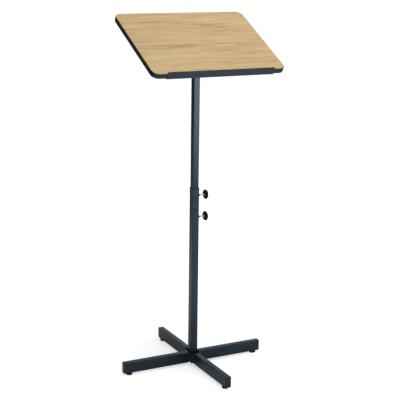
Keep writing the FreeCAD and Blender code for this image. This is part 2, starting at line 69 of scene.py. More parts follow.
MM = 0.001
THREAD_PITCH = 2 * math.pi / record["behaviour"]["couplings"][0]["ratio"]
RINGS_PER_THREAD = 10
CLAMPS = ("upper", "lower")
OUTWARD = {"left": Vector((-1, 0, 0)), "right": Vector((1, 0, 0)),
           "front": Vector((0, -1, 0)), "rear": Vector((0, 1, 0))}


# ---------------------------------------------------------------- places

def desk_place():
    """From the desk's own axes (across, up the slope, square to the surface) to the frame."""
    surface = next(m for m in record["mounts"] if m["name"] == "desk_surface")
    tilt = next(j for j in frame["joints"] if j["name"] == "desk_tilt")
    across, normal = Vector((1, 0, 0)), Vector(surface["axis"]).normalized()
    turn = Matrix((across, normal.cross(across), normal)).transposed()
    return Matrix.Translation(Vector(tilt["pos_m"])) @ turn.to_4x4()


DESK = desk_place()


def points_of(node, place=Matrix.Identity(4)):
    """A CAD node's vertices in the axes of place."""
    back = place.inverted()
    return [back @ vertex.co for vertex in frame["nodes"][node].data.vertices]


def box_of(points):
    return (Vector([min(p[k] for p in points) for k in range(3)]),
            Vector([max(p[k] for p in points) for k in range(3)]))


def islands(node, place=Matrix.Identity(4)):
    """The separate solids of a CAD node, each as its lowest and highest corner."""
    mesh = bmesh.new()
    mesh.from_mesh(frame["nodes"][node].data)
    bmesh.ops.remove_doubles(mesh, verts=mesh.verts, dist=1e-6)
    left, found, back = set(mesh.verts), [], place.inverted()
    while left:
        reached, edge_of = set(), [min(left, key=lambda v: v.index)]
        while edge_of:
            vertex = edge_of.pop()
            if vertex not in reached:
                reached.add(vertex)
                edge_of += [e.other_vert(vertex) for e in vertex.link_edges]
        left -= reached
        found.append(box_of([back @ v.co for v in reached]))
    mesh.free()
    return sorted(found, key=lambda box: tuple(round(c, 5) for c in box[0]))


def along_x(centre):
    """Local Z laid along the frame's +X, at centre."""
    return Matrix.Translation(centre) @ Matrix.Rotation(math.radians(90), 4, "Y")


# ---------------------------------------------------------------- meshes

class Shape:
    """Closed shells that grow ring by ring."""

    def __init__(self):
        self.vertices, self.faces = [], []

    def skin(self, rings, join_ends=False):
        """Quads between rings of equal length, with a cap at each end unless they join."""
        start, count = len(self.vertices), len(rings[0])
        for ring in rings:
            self.vertices += ring
        for i in range(len(rings) if join_ends else len(rings) - 1):
            a, b = start + i * count, start + (i + 1) % len(rings) * count
            for k in range(count):
                n = (k + 1) % count
                self.faces.append((a + k, a + n, b + n, b + k))
        if not join_ends:
            end = start + (len(rings) - 1) * count
            self.faces.append(tuple(start + k for k in range(count)))
            self.faces.append(tuple(end + k for k in range(count)))
        return self

    def revolve(self, profile, place, segments=64):
        """A closed profile of (radius, height) points turned about the local Z axis."""
        rings = []
        for i in range(segments):
            angle = 2 * math.pi * i / segments
            rings.append([place @ Vector((r * math.cos(angle), r * math.sin(angle), h))
                          for r, h in profile])
        return self.skin(rings, join_ends=True)

    def turn(self, stations, place, segments=48):
        """Rings about the local Z axis from (height, radius at an angle) stations."""
        rings = []
        for height, radius_at in stations:
            angles = [2 * math.pi * i / segments for i in range(segments)]
            rings.append([place @ Vector((radius_at(a) * math.cos(a),
                                          radius_at(a) * math.sin(a), height))
                          for a in angles])
        return self.skin(rings)


def arc(centre, radius, start, end, steps=8):
    """Points of a round stretch of a profile, its angles in degrees."""
    angles = [math.radians(start + (end - start) * i / steps) for i in range(steps + 1)]
    return [(centre[0] + radius * math.cos(a), centre[1] + radius * math.sin(a))
            for a in angles]


def piece(name, shape, body, material, replaced=(), sharp=32):
    """An object from a shape: it rides on a body and may stand for CAD nodes."""
    mesh = bpy.data.meshes.new(name)
    mesh.from_pydata(shape.vertices, [], shape.faces)
    clean = bmesh.new()
    clean.from_mesh(mesh)
    bmesh.ops.remove_doubles(clean, verts=clean.verts, dist=1e-7)
    bmesh.ops.recalc_face_normals(clean, faces=clean.faces)
    clean.to_mesh(mesh)
    clean.free()
    mesh.shade_smooth()
    mesh.set_sharp_from_angle(angle=math.radians(sharp))
    mesh.materials.append(material)
    made = bpy.data.objects.new(name, mesh)
    scene.collection.objects.link(made)
    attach(made, body)
    if replaced:
        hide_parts(*replaced)
    return made


# ---------------------------------------------------------------- materials

class Look:
    """A material whose nodes are added by kind and joined by socket."""

    def __init__(self, name, roughness, specular=0.5, metallic=0.0, tint=(1, 1, 1)):
        self.material = bpy.data.materials.new(name)
        self.material.use_nodes = True
        self.tree = self.material.node_tree
        self.shader = self.tree.nodes["Principled BSDF"]
        self.shader.inputs["Roughness"].default_value = roughness
        self.shader.inputs["Specular IOR Level"].default_value = specular
        self.shader.inputs["Specular Tint"].default_value = (*tint, 1)
        self.shader.inputs["Metallic"].default_value = metallic
        self.place = self.node("ShaderNodeTexCoord").outputs["Object"]

    def node(self, kind, inputs=None, **settings):
        made = self.tree.nodes.new(kind)
        for name, value in settings.items():
            setattr(made, name, value)
        for name, value in (inputs or {}).items():
            if isinstance(value, bpy.types.NodeSocket):
                self.tree.links.new(value, made.inputs[name])
            else:
                made.inputs[name].default_value = value
        return made

    def stretched(self, scale, place=None):
        inputs = {"Vector": place or self.place, "Scale": scale}
        return self.node("ShaderNodeMapping", inputs).outputs["Vector"]

    def noise(self, scale, detail=2.0, roughness=0.5, place=None):
        inputs = {"Vector": place or self.place, "Scale": scale, "Detail": detail,
                  "Roughness": roughness}
        return self.node("ShaderNodeTexNoise", inputs).outputs["Fac"]

    def math(self, operation, a, b=0.0):
        """One of Blender's own math operations on two values or sockets."""
        return self.node("ShaderNodeMath", {0: a, 1: b}, operation=operation).outputs[0]

    def spread(self, value, low, high, to_low=0.0, to_high=1.0):
        """A value from low to high eased onto to_low to to_high."""
        inputs = {"Value": value, "From Min": low, "From Max": high, "To Min": to_low,
                  "To Max": to_high}
        made = self.node("ShaderNodeMapRange", inputs, interpolation_type="SMOOTHSTEP")
        return made.outputs["Result"]

    def mix(self, share, a, b):
        """Colour a turning into colour b as the share goes from 0 to 1."""
        made = self.node("ShaderNodeMix", data_type="RGBA")
        factor = next(s for s in made.inputs if s.name == "Factor" and s.type == "VALUE")
        self.tree.links.new(share, factor)
        first, second = [s for s in made.inputs if s.type == "RGBA"]
        for socket, colour in ((first, a), (second, b)):
            if isinstance(colour, bpy.types.NodeSocket):
                self.tree.links.new(colour, socket)
            else:
                socket.default_value = (*colour, 1)
        return next(s for s in made.outputs if s.type == "RGBA")

    def edges(self, radius):
        """1 along edges that are sharper than this radius, 0 elsewhere."""
        rounded = self.node("ShaderNodeBevel", {"Radius": radius}, samples=6).outputs[0]
        plain = self.node("ShaderNodeNewGeometry").outputs["Normal"]
        dot = self.node("ShaderNodeVectorMath", {0: rounded, 1: plain},
                        operation="DOT_PRODUCT").outputs["Value"]
        return self.spread(dot, 0.99, 0.86)

    def bump(self, heights, round_edges=0.0):
        """Stacks (height, depth in metres) reliefs, the broadest first, over eased edges."""
        normal = None
        if round_edges:
            rounded = self.node("ShaderNodeBevel", {"Radius": round_edges}, samples=6)
            normal = rounded.outputs[0]
        for height, depth in heights:
            inputs = {"Height": height, "Distance": depth, "Strength": 1.0}
            if normal is not None:
                inputs["Normal"] = normal
            normal = self.node("ShaderNodeBump", inputs).outputs["Normal"]
        self.tree.links.new(normal, self.shader.inputs["Normal"])

    def finish(self, colour, roughness=None):
        self.tree.links.new(colour, self.shader.inputs["Base Color"])
        if roughness is not None:
            self.tree.links.new(roughness, self.shader.inputs["Roughness"])
        return self.material


def powder_coat(name, rubbed=False):
    """Satin slate powder coat: orange peel, fine grit and lighter edges, partly a thinner coat and partly a
    painted edge highlight.
    """
    look = Look(name, 0.32, tint=(0.62, 0.84, 1.0))
    cloud, peel = look.noise(11, 3), look.noise(430, 2)
    grit = look.noise(2100, 2, 0.6)
    colour = look.mix(look.spread(cloud, 0.35, 0.65), (0.0055, 0.0085, 0.0125),
                      (0.0085, 0.0125, 0.0175))
    colour = look.mix(look.spread(grit, 0.60, 0.74, 0, 0.35), colour, (0.026, 0.033, 0.042))
    # Lighter edges: a thinner coat there, plus a painted edge highlight.
    thin_coat_and_highlight = look.math("MULTIPLY", look.edges(0.5 * MM), look.spread(cloud, 0.3, 0.7, 0.2, 0.6))
    colour = look.mix(thin_coat_and_highlight, colour, (0.024, 0.032, 0.042))
    smooth, rough = (0.20, 0.30) if rubbed else (0.26, 0.38)
    roughness = look.spread(grit, 0.3, 0.7, smooth, rough)
    if rubbed:
        colour, roughness = rub_streak(look, colour, roughness)
    look.bump([(peel, 0.09 * MM), (grit, 0.02 * MM)], round_edges=0.4 * MM)
    return look.finish(colour, roughness)


def rub_streak(look, colour, roughness):
    """Where the clamp plugs have polished the tube's right face as it slid."""
    face_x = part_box("upper_tube")[1].x
    plug_low, plug_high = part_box("pressure_plug_upper")
    parts = look.node("ShaderNodeSeparateXYZ", {0: look.place})
    half = (plug_high.y - plug_low.y) / 2
    across = look.spread(look.math("ABSOLUTE", parts.outputs["Y"]), half * 1.1, half * 0.5)
    face = look.spread(parts.outputs["X"], face_x - 0.3 * MM, face_x - 0.1 * MM)
    scratches = look.noise(1, 3, 0.7, look.stretched((1, 2600, 14)))
    streak = look.math("MULTIPLY", across, face)
    streak = look.math("MULTIPLY", streak, look.spread(scratches, 0.35, 0.7, 0.1, 0.6))
    colour = look.mix(streak, colour, (0.05, 0.056, 0.062))
    gloss = look.math("MULTIPLY", streak, -0.12)
    return colour, look.math("ADD", roughness, gloss)


def oak_laminate():
    """Printed oak: bands, fibres, brown streaks in clusters and short dark pores."""
    look = Look("oak_laminate", 0.42, specular=0.4)
    turn = DESK.to_3x3().inverted()
    own = look.node("ShaderNodeMapping", {
        "Vector": look.place, "Location": turn @ -DESK.translation,
        "Rotation": turn.to_euler()}).outputs["Vector"]
    drift = look.noise(1, 2, 0.5, look.stretched((2.6, 11, 1), own))
    parts = look.node("ShaderNodeSeparateXYZ", {0: own})
    sway = look.math("MULTIPLY", look.math("SUBTRACT", drift, 0.5), 16 * MM)
    across = look.math("ADD", parts.outputs["Y"], sway)
    grain = look.node("ShaderNodeCombineXYZ", {"X": parts.outputs["X"], "Y": across})
    grain = grain.outputs[0]

    def streaks(along, athwart, detail=3.0, roughness=0.6):
        return look.noise(1, detail, roughness, look.stretched((along, athwart, 1), grain))

    bands = streaks(1.7, 70, 4)
    fibres = streaks(6, 430, 3)
    dashes = streaks(5, 240, 3, 0.55)
    patches = streaks(2.2, 16, 2)
    pores = streaks(62, 2300, 1)
    colour = look.mix(look.spread(bands, 0.3, 0.7), (0.66, 0.462, 0.224),
                      (0.75, 0.545, 0.286))
    colour = look.mix(look.spread(fibres, 0.40, 0.66, 0, 0.7), colour, (0.47, 0.310, 0.145))
    brown = look.math("MULTIPLY", look.spread(dashes, 0.51, 0.62),
                      look.spread(patches, 0.42, 0.60, 0.12, 1.0))
    colour = look.mix(brown, colour, (0.30, 0.190, 0.100))
    pore = look.spread(pores, 0.60, 0.68, 0, 0.6)
    pore = look.math("MULTIPLY", pore, look.spread(bands, 0.65, 0.35, 0.25, 1.0))
    colour = look.mix(pore, colour, (0.23, 0.14, 0.075))
    relief = look.math("SUBTRACT", look.math("MULTIPLY", fibres, 0.4), pore)
    look.bump([(relief, 0.045 * MM)])
    return look.finish(colour, look.spread(fibres, 0.3, 0.7, 0.36, 0.5))


def moulded_black(name, base, light, roughness, grain, depth, specular=0.45,
                  wave=0.05 * MM):
    """Black moulded plastic or vinyl: a fine even grain of this depth on a broad wave."""
    look = Look(name, roughness, specular=specular, tint=(0.68, 0.86, 1.0))
    cloud, fine = look.noise(35, 3), look.noise(grain, 2, 0.6)
    colour = look.mix(look.spread(cloud, 0.35, 0.68), base, light)
    # Lighter edges: a painted edge highlight, with some wear.
    colour = look.mix(look.math("MULTIPLY", look.edges(0.5 * MM), 0.35), colour,
                      tuple(2.2 * c for c in light))
    look.bump([(cloud, wave), (fine, depth)], round_edges=0.5 * MM)
    return look.finish(colour, look.spread(fine, 0.3, 0.7, roughness - 0.07,
                                           roughness + 0.07))


def foot_rubber():
    """Black rubber, dusty where it meets the floor."""
    look = Look("foot_rubber", 0.72, specular=0.3)
    low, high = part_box("foot_glide_left")
    height = look.node("ShaderNodeSeparateXYZ", {0: look.place}).outputs["Z"]
    fine, cloud = look.noise(1500, 3, 0.6), look.noise(160, 3)
    colour = look.mix(look.spread(cloud, 0.3, 0.7), (0.008, 0.008, 0.009),
                      (0.016, 0.016, 0.016))
    dust = look.math("MULTIPLY", look.spread(height, (low.z + high.z) / 2, low.z, 0, 0.5),
                     look.spread(fine, 0.4, 0.65))
    colour = look.mix(dust, colour, (0.10, 0.095, 0.085))
    look.bump([(cloud, 0.12 * MM), (fine, 0.03 * MM)])
    return look.finish(colour, look.spread(fine, 0.3, 0.7, 0.6, 0.85))


def zinc_plate():
    """Bright zinc plating with faint yellow and blue passivation and a drawn texture."""
    look = Look("zinc_plate", 0.3, metallic=0.55)
    cloud, fine = look.noise(90, 3), look.noise(1700, 3, 0.65)
    colour = look.mix(look.spread(cloud, 0.35, 0.65), (0.84, 0.83, 0.77),
                      (0.76, 0.81, 0.86))
    colour = look.mix(look.spread(fine, 0.55, 0.8, 0, 0.35), colour, (0.42, 0.42, 0.42))
    look.bump([(fine, 0.015 * MM)])
    return look.finish(colour, look.spread(fine, 0.3, 0.7, 0.22, 0.42))


def nylon():
    """Natural nylon, slightly milky."""
    look = Look("nylon", 0.38)
    cloud, fine = look.noise(120, 3), look.noise(1300, 2)
    look.shader.inputs["Subsurface Weight"].default_value = 0.25
    look.shader.inputs["Subsurface Radius"].default_value = (2 * MM, 1.6 * MM, 1.2 * MM)
    colour = look.mix(look.spread(cloud, 0.3, 0.7), (0.70, 0.68, 0.60), (0.78, 0.76, 0.70))
    look.bump([(fine, 0.02 * MM)])
    return look.finish(colour, look.spread(fine, 0.3, 0.7, 0.32, 0.46))


def pressed_fibre(name, dark, light, chip, depth):
    """Chips or fibres pressed together: friction discs and the desk's board."""
    look = Look(name, 0.8, specular=0.25)
    cells = look.node("ShaderNodeTexVoronoi", {"Vector": look.place, "Scale": chip})
    fine = look.noise(chip * 3, 3, 0.65)
    shade = look.math("ADD", look.math("MULTIPLY", cells.outputs["Distance"], 0.6),
                      look.math("MULTIPLY", fine, 0.6))
    colour = look.mix(look.spread(shade, 0.25, 0.85), dark, light)
    look.bump([(cells.outputs["Distance"], depth), (fine, depth / 3)])
    return look.finish(colour, look.spread(fine, 0.3, 0.7, 0.7, 0.9))


def backing_sheet():
    """The plain brown sheet under the board, with a faint paper mottle."""
    look = Look("backer_laminate", 0.55, specular=0.35)
    cloud, fine = look.noise(28, 4, 0.6), look.noise(1100, 3, 0.65)
    colour = look.mix(look.spread(cloud, 0.3, 0.7), (0.055, 0.040, 0.030),
                      (0.075, 0.056, 0.042))
    colour = look.mix(look.spread(fine, 0.55, 0.75, 0, 0.4), colour, (0.12, 0.092, 0.07))
    look.bump([(fine, 0.03 * MM)])
    return look.finish(colour, look.spread(fine, 0.3, 0.7, 0.48, 0.62))


def all_materials():
    return {
        "powder_coat": powder_coat("powder_coat"),
        "rubbed_coat": powder_coat("rubbed_coat", rubbed=True),
        "black_plastic": moulded_black("black_plastic", (0.006, 0.009, 0.0125),
                                       (0.009, 0.013, 0.018), 0.40, 2600, 0.02 * MM),
        "knob_plastic": moulded_black("knob_plastic", (0.0012, 0.0012, 0.0015),
                                      (0.0022, 0.0022, 0.0028), 0.24, 1500, 0.003 * MM,
                                      0.14, 0.015 * MM),
        "edge_vinyl": moulded_black("edge_vinyl", (0.002, 0.0025, 0.0035),
                                    (0.0035, 0.0045, 0.0065), 0.28, 1300, 0.010 * MM),
        "foot_rubber": foot_rubber(),
        "oak_laminate": oak_laminate(),
        "backer_laminate": backing_sheet(),
        "particle_board": pressed_fibre("particle_board", (0.28, 0.19, 0.10),
                                        (0.52, 0.39, 0.24), 420, 0.15 * MM),
        "zinc_steel": zinc_plate(),
        "friction_fibre": pressed_fibre("friction_fibre", (0.07, 0.05, 0.035),
                                        (0.16, 0.12, 0.085), 1900, 0.05 * MM),
        "nylon": nylon(),
    }


materials = all_materials()


def dress_frame():
    """Every CAD node gets the material of its record slot."""
    for part in record["subparts"]:
        slot = part["material_slot"]
        own = "rubbed_coat" if part["node"] == "upper_tube" else slot
        mesh = frame["nodes"][part["node"]].data
        mesh.materials.clear()
        mesh.materials.append(materials[own])


# ---------------------------------------------------------------- pieces

def edge_moulding():
    """The T-moulding: a domed face, a tongue in the board, its ends meeting at the rear."""
    dome, shoulder, gap = 0.26, 16, 0.12 * MM
    face_steps, corner_steps = 26, 24
    points = points_of("edge_band", DESK)
    low, high = box_of(points)
    core_high = box_of(points_of("desk_laminate", DESK))[1]
    face = high.x - core_high.x
    straight = max(p.y for p in points if p.x > high.x - 0.01 * MM)
    corner = high.y - straight
    middle, half = (low.z + high.z) / 2, (high.z - low.z) / 2
    tongue_half, tongue_depth = 0.8 * MM, 7.0 * MM
    profile = [(0, middle + tongue_half), (-tongue_depth, middle + tongue_half * 0.8),
               (-tongue_depth, middle - tongue_half * 0.8), (0, middle - tongue_half)]
    for i in range(face_steps + 1):
        s = math.sin(math.pi / 2 * (2 * i / face_steps - 1))
        out = face * (1 - dome * s * s) * math.sqrt(max(0.0, 1 - abs(s) ** shoulder))
        profile.append((out, middle + s * half))
    inner_x, inner_y = high.x - corner, high.y - corner
    core_corner = corner - face
    path = [(gap, core_high.y, 90)]
    for centre_x, centre_y, start in ((inner_x, inner_y, 90), (inner_x, -inner_y, 0),
                                      (-inner_x, -inner_y, -90), (-inner_x, inner_y, -180)):
        for i in range(corner_steps + 1):
            angle = start - 90 * i / corner_steps
            turn = math.radians(angle)
            path.append((centre_x + core_corner * math.cos(turn),
                         centre_y + core_corner * math.sin(turn), angle))
    path.append((-gap, core_high.y, 90))
    rings = []
    for x, y, angle in path:
        out_x, out_y = math.cos(math.radians(angle)), math.sin(math.radians(angle))
        rings.append([DESK @ Vector((x + out * out_x, y + out * out_y, height))
                      for out, height in profile])
    piece("edge_moulding", Shape().skin(rings), "desk",
          materials["edge_vinyl"], ["edge_band"], sharp=40)


def thread_radius(crest, depth, height, run_in, run_out):
    """Radius of a 60 degree thread at a height, tapered past run_in and run_out."""
    flank, root_flat, end_taper = 1.35, 0.15, 0.6

    def at(angle):
        phase = (height / THREAD_PITCH - angle / (2 * math.pi)) % 1
        ridge = 1 - abs(2 * phase - 1)
        tooth = min(1, max(0, flank * ridge - root_flat))
        past_ends = max(0, run_in - height) + max(0, height - run_out)
        return crest - depth * (1 - tooth) - end_taper * past_ends
    return at


def threaded_stud(name):
    """A clamp stud with its thread, from the tip to where the knob grips it."""
    node = "clamp_stud_" + name
    low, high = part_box(node)
    crest, length = (high.z - low.z) / 2, high.x - low.x
    centre = Vector((low.x, 0, (low.z + high.z) / 2))
    depth, tip_taper = 0.62 * MM, 0.9 * MM
    count = int(length / THREAD_PITCH * RINGS_PER_THREAD)
    heights = [length * i / count for i in range(count + 1)]
    stations = [(h, thread_radius(crest, depth, h, tip_taper, length)) for h in heights]
    piece("stud_" + name, Shape().turn(stations, along_x(centre), 36), name + "_knob",
          materials["zinc_steel"], [node], sharp=60)


def clamp_knob(name):
    """A moulded knob: boss, round rim with a parting line, dished face, blind bore."""
    node = "clamp_knob_" + name
    low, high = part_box(node)
    stud_low, stud_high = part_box("clamp_stud_" + name)
    centre = Vector((low.x, 0, (low.z + high.z) / 2))
    radius, depth = (high.z - low.z) / 2, high.x - low.x
    boss, bore = 1.8 * MM, (stud_high.z - stud_low.z) / 2 + 0.05 * MM
    inner, outer = 3.4 * MM, 4.2 * MM
    seam = boss + inner + 0.6 * MM
    floor = stud_high.x - low.x
    profile = [(0, floor), (bore, floor), (bore, 0.25 * MM), (bore + 0.3 * MM, 0)]
    profile += arc((5.2 * MM, 0.6 * MM), 0.6 * MM, -90, 0, 5)
    profile += [(6.1 * MM, boss - 0.5 * MM), (7.0 * MM, boss), (9.5 * MM, boss - 0.15 * MM)]
    profile += arc((radius - inner, boss + inner), inner, -90, 0, 14)
    profile += [(radius, seam - 0.25 * MM), (radius + 0.07 * MM, seam),
                (radius, seam + 0.25 * MM)]
    profile += arc((radius - outer, depth - outer), outer, 0, 84, 16)
    profile += arc((9.6 * MM, depth - 0.35 * MM), 0.3 * MM, 80, 160, 5)
    profile += [(8.4 * MM, depth - 0.9 * MM), (5.0 * MM, depth - 1.15 * MM),
                (1.6 * MM, depth - 1.2 * MM), (1.3 * MM, depth - 0.95 * MM),
                (0, depth - 0.9 * MM)]
    shape = Shape().revolve(profile, along_x(centre), 96)
    piece("knob_" + name, shape, name + "_knob",
          materials["knob_plastic"], [node], sharp=35)


def rounded_ring(place, half_wide, half_high, corner, height):
    """A rectangle with rounded corners in the local XY plane, lifted along local Z."""
    ring = []
    for centre_x, centre_y, start in ((half_wide - corner, half_high - corner, 0),
                                      (corner - half_wide, half_high - corner, 90),
                                      (corner - half_wide, corner - half_high, 180),
                                      (half_wide - corner, corner - half_high, 270)):
        ring += [place @ Vector((x, y, height))
                 for x, y in arc((centre_x, centre_y), corner, start, start + 90, 6)]
    return ring


def leg_cap(side):
    """An end cap: its plug, a shadow groove by the tube, an eased flange, a sunk face."""
    node, out = "leg_cap_" + side, OUTWARD[side]
    across, up = Vector((-out.y, out.x, 0)), Vector((0, 0, 1))
    low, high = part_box(node)
    points = points_of(node)
    joint = max(p.dot(out) for p in points_of("leg_" + side))
    tip = max(p.dot(out) for p in points) - joint
    length = joint - min(p.dot(out) for p in points)
    plug_low, plug_high = box_of([p for p in points if p.dot(out) < joint - MM])
    half_wide, half_high = abs((high - low).dot(across)) / 2, (high.z - low.z) / 2
    plug = half_high - (plug_high.z - plug_low.z) / 2
    groove_wide, groove_deep, ease, sunk = 1.0 * MM, 1.0 * MM, 1.1 * MM, 0.3 * MM
    corner, least_corner = 2.0 * MM, 0.4 * MM
    # (height past the tube's end, how far inside the leg's outline), from the plug's tip on
    stations = [(-length, plug + 0.6 * MM), (1.2 * MM - length, plug), (0, plug),
                (0, groove_deep), (groove_wide - 0.05 * MM, groove_deep),
                (groove_wide, 0.3 * MM), (groove_wide + 0.25 * MM, 0)]
    stations += [(height, ease - run) for run, height in arc((0, tip - ease), ease, 0, 90, 6)]
    stations += [(tip, 2.1 * MM), (tip - sunk, 2.5 * MM), (tip - sunk, 4.0 * MM)]
    place = Matrix.Translation(out * joint + up * (low.z + high.z) / 2) @ (
        Matrix((across, up, out)).transposed().to_4x4())
    rings = [rounded_ring(place, half_wide - inset, half_high - inset,
                          max(corner - inset, least_corner), height)
             for height, inset in stations]
    piece("cap_" + side, Shape().skin(rings), "base",
          materials["black_plastic"], [node], sharp=40)


def foot_glide(side):
    """A rubber glide with a grooved rim and a pocket for its screw."""
    node = "foot_glide_" + side
    low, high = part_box(node)
    top, radius = high.z - low.z, (high.x - low.x) / 2
    screw, pocket, deep = 2.1 * MM, 4.8 * MM, 4.0 * MM
    profile = [(screw, top), (radius - 0.9 * MM, top)]
    profile += arc((radius - 0.6 * MM, top - 0.6 * MM), 0.6 * MM, 80, 0, 5)
    for groove in (5.6 * MM, 4.2 * MM):
        profile += [(radius, groove + 0.35 * MM), (radius - 0.35 * MM, groove + 0.15 * MM),
                    (radius - 0.35 * MM, groove - 0.15 * MM), (radius, groove - 0.35 * MM)]
    profile += arc((radius - 2.0 * MM, 2.0 * MM), 2.0 * MM, 0, -90, 10)
    profile += arc((pocket + 0.4 * MM, 0.4 * MM), 0.4 * MM, -90, -180, 4)
    profile += [(pocket, deep), (screw, deep)]
    place = Matrix.Translation(((low.x + high.x) / 2, (low.y + high.y) / 2, low.z))
    piece("glide_" + side, Shape().revolve(profile, place, 72), "base",
          materials["foot_rubber"], [node], sharp=50)


def cross_recess(x, y):
    """Depth, 0 to 1, of a cross recess with sloping walls."""
    half_width, reach, slope = 0.5 * MM, 2.2 * MM, 0.3 * MM
    deepest = 0.0
    for a, b in ((abs(x), abs(y)), (abs(y), abs(x))):
        wall = min((half_width - b) / slope, (reach - a) / slope)
        deepest = max(deepest, min(1.0, max(0.0, wall + 0.5)))
    return deepest


def pan_head_screw(shape, place, length):
    """A screw whose tip points up local Z and whose domed head hangs below 0."""
    radius, rim, head, shank, tip = 4.0 * MM, 1.0 * MM, 2.4 * MM, 2.0 * MM, 1.8 * MM
    segments, steps = 64, 18
    rings = []
    for i in range(steps + 1):
        r = radius * math.sin(math.pi / 2 * i / steps)
        ring = []
        for k in range(segments):
            angle = 2 * math.pi * k / segments
            x, y = r * math.cos(angle), r * math.sin(angle)
            dome = rim + (head - rim) * math.sqrt(max(0.0, 1 - (r / radius) ** 2.6))
            ring.append(place @ Vector((x, y, 1.3 * MM * cross_recess(x, y) - dome)))
        rings.append(ring)
    for r, height in ((radius, -0.15 * MM), (radius - 0.15 * MM, 0), (shank, 0),
                      (shank, length - tip), (0, length)):
        rings.append([place @ Vector((r * math.cos(2 * math.pi * k / segments),
                                      r * math.sin(2 * math.pi * k / segments), height))
                      for k in range(segments)])
    shape.skin(rings)


def screws(name, node, body, place):
    """A pan head screw in the place of each of a node's solids."""
    shape = Shape()
    head = 2.4 * MM
    for low, high in islands(node, place):
        seat = Matrix.Translation(((low.x + high.x) / 2, (low.y + high.y) / 2, low.z + head))
        pan_head_screw(shape, place @ seat, high.z - low.z - head)
    piece(name, shape, body, materials["zinc_steel"], [node], sharp=40)


def weld_bead(shape, start, end, side_a, side_b, size):
    """A fillet bead in a corner: overlapping ripples, tapering at both ends."""
    length, ripple, slice_length, root = (end - start).length, 2.3 * MM, 0.25 * MM, 0.2 * MM
    count = max(12, int(length / slice_length))
    rings = []
    for i in range(count + 1):
        along = length * i / count
        wave = (along / ripple) % 1
        leg = size * (0.90 + 0.10 * math.sin(math.pi * wave ** 0.7))
        leg *= min(1, 0.45 + 0.55 * math.sqrt(min(along, length - along) / (1.2 * MM)))
        centre = start.lerp(end, i / count)
        ring = [centre - (side_a + side_b) * root]
        for k in range(9):
            turn = math.pi / 2 * k / 8
            bulge = leg * (0.78 + 0.22 * abs(math.cos(2 * turn)))
            ring.append(centre + side_a * bulge * math.cos(turn)
                        + side_b * bulge * math.sin(turn))
        rings.append(ring)
    shape.skin(rings)


def hub_weld_beads():
    """Upright beads where the legs' sides meet the hub."""
    hub_low, hub_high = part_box("hub_sleeve")
    inset, size, shape = 2.0 * MM, 3.2 * MM, Shape()
    for side in OUTWARD:
        low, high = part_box("leg_" + side)
        out = OUTWARD[side]
        face = hub_high if sum(out) > 0 else -hub_low
        reach = abs(face.dot(out))
        half = min(high.x - low.x, high.y - low.y) / 2
        for across in (Vector((-out.y, out.x, 0)), Vector((out.y, -out.x, 0))):
            foot = out * reach + across * half
            weld_bead(shape, foot + Vector((0, 0, hub_low.z + inset)),
                      foot + Vector((0, 0, hub_high.z - inset)), out, across, size)
    piece("hub_weld_beads", shape, "base", materials["powder_coat"],
          ["hub_welds"], sharp=60)


def ear_weld_beads():
    """Beads along the feet of the two ears, on the tube's side faces."""
    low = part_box("column_ear_right")[0]
    tube_low, tube_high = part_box("upper_tube")
    foot = 8.0 * MM
    down, shape = Vector((0, 0, -1)), Shape()
    for x, out in ((tube_high.x, Vector((1, 0, 0))), (tube_low.x, Vector((-1, 0, 0)))):
        weld_bead(shape, Vector((x, -foot, low.z)), Vector((x, foot, low.z)), out, down,
                  2.4 * MM)
    piece("ear_weld_beads", shape, "column", materials["powder_coat"],
          ["ear_welds"], sharp=60)


def hexagon(flats, chamfer, height, top):
    """Radius of a hexagon at a height, its corners cut back near the top by a cone."""
    cone = chamfer + (top - height) * 1.8

    def at(angle):
        side = (angle + math.pi / 6) % (math.pi / 3) - math.pi / 6
        return min(flats / 2 / math.cos(side), cone)
    return at


def tilt_bolt():
    """The bolt of the tilt axis: chamfered head, plain shank, thread past the nut."""
    low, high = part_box("tilt_bolt")
    nut_low, nut_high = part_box("tilt_lock_nut")
    washer_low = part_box("tilt_washers")[0]
    head, radius, flats = washer_low.x - low.x, 4.0 * MM, 13.0 * MM
    washer_face, face_radius = 0.4 * MM, flats * 0.48
    thread_depth, tip_taper = 0.6 * MM, 0.8 * MM
    length, thread_start = high.x - low.x, nut_low.x - low.x
    centre = Vector((low.x, 0, (low.z + high.z) / 2))
    stations = [(0, lambda angle: flats * 0.40)]
    for i in range(7):
        height = head * 0.3 * i / 6
        stations.append((height, hexagon(flats, flats * 0.47, head - height, head)))
    stations += [(head - washer_face, hexagon(flats, flats, 0, 0)),
                 (head - washer_face, lambda angle: face_radius),
                 (head, lambda angle: face_radius), (head, lambda angle: radius),
                 (thread_start, lambda angle: radius)]
    count = int((length - thread_start) / THREAD_PITCH * RINGS_PER_THREAD)
    for i in range(1, count + 1):
        height = thread_start + (length - thread_start) * i / count
        stations.append((height, thread_radius(radius, thread_depth, height, 0,
                                               length - tip_taper)))
    piece("tilt_bolt_threaded", Shape().turn(stations, along_x(centre), 48), "desk",
          materials["zinc_steel"], ["tilt_bolt"], sharp=35)
    ring = arc((4.35 * MM, 0), 0.28 * MM, 0, 345, 23)
    place = along_x(Vector((nut_high.x - 0.05 * MM, 0, centre.z)))
    piece("lock_nut_insert", Shape().revolve(ring, place, 48), "desk",
          materials["nylon"])


def all_pieces():
    edge_moulding()
    for name in CLAMPS:
        threaded_stud(name)
        clamp_knob(name)
    for side in OUTWARD:
        foot_glide(side)
        leg_cap(side)
    level = Matrix.Identity(4)
    screws("glide_screws", "foot_screws", "base", level)
    screws("stop_screws", "book_stop_screws", "desk", DESK)
    screws("bracket_screw_set", "bracket_screws", "desk", DESK)
    hub_weld_beads()
    ear_weld_beads()
    tilt_bolt()


# ---------------------------------------------------------------- stage

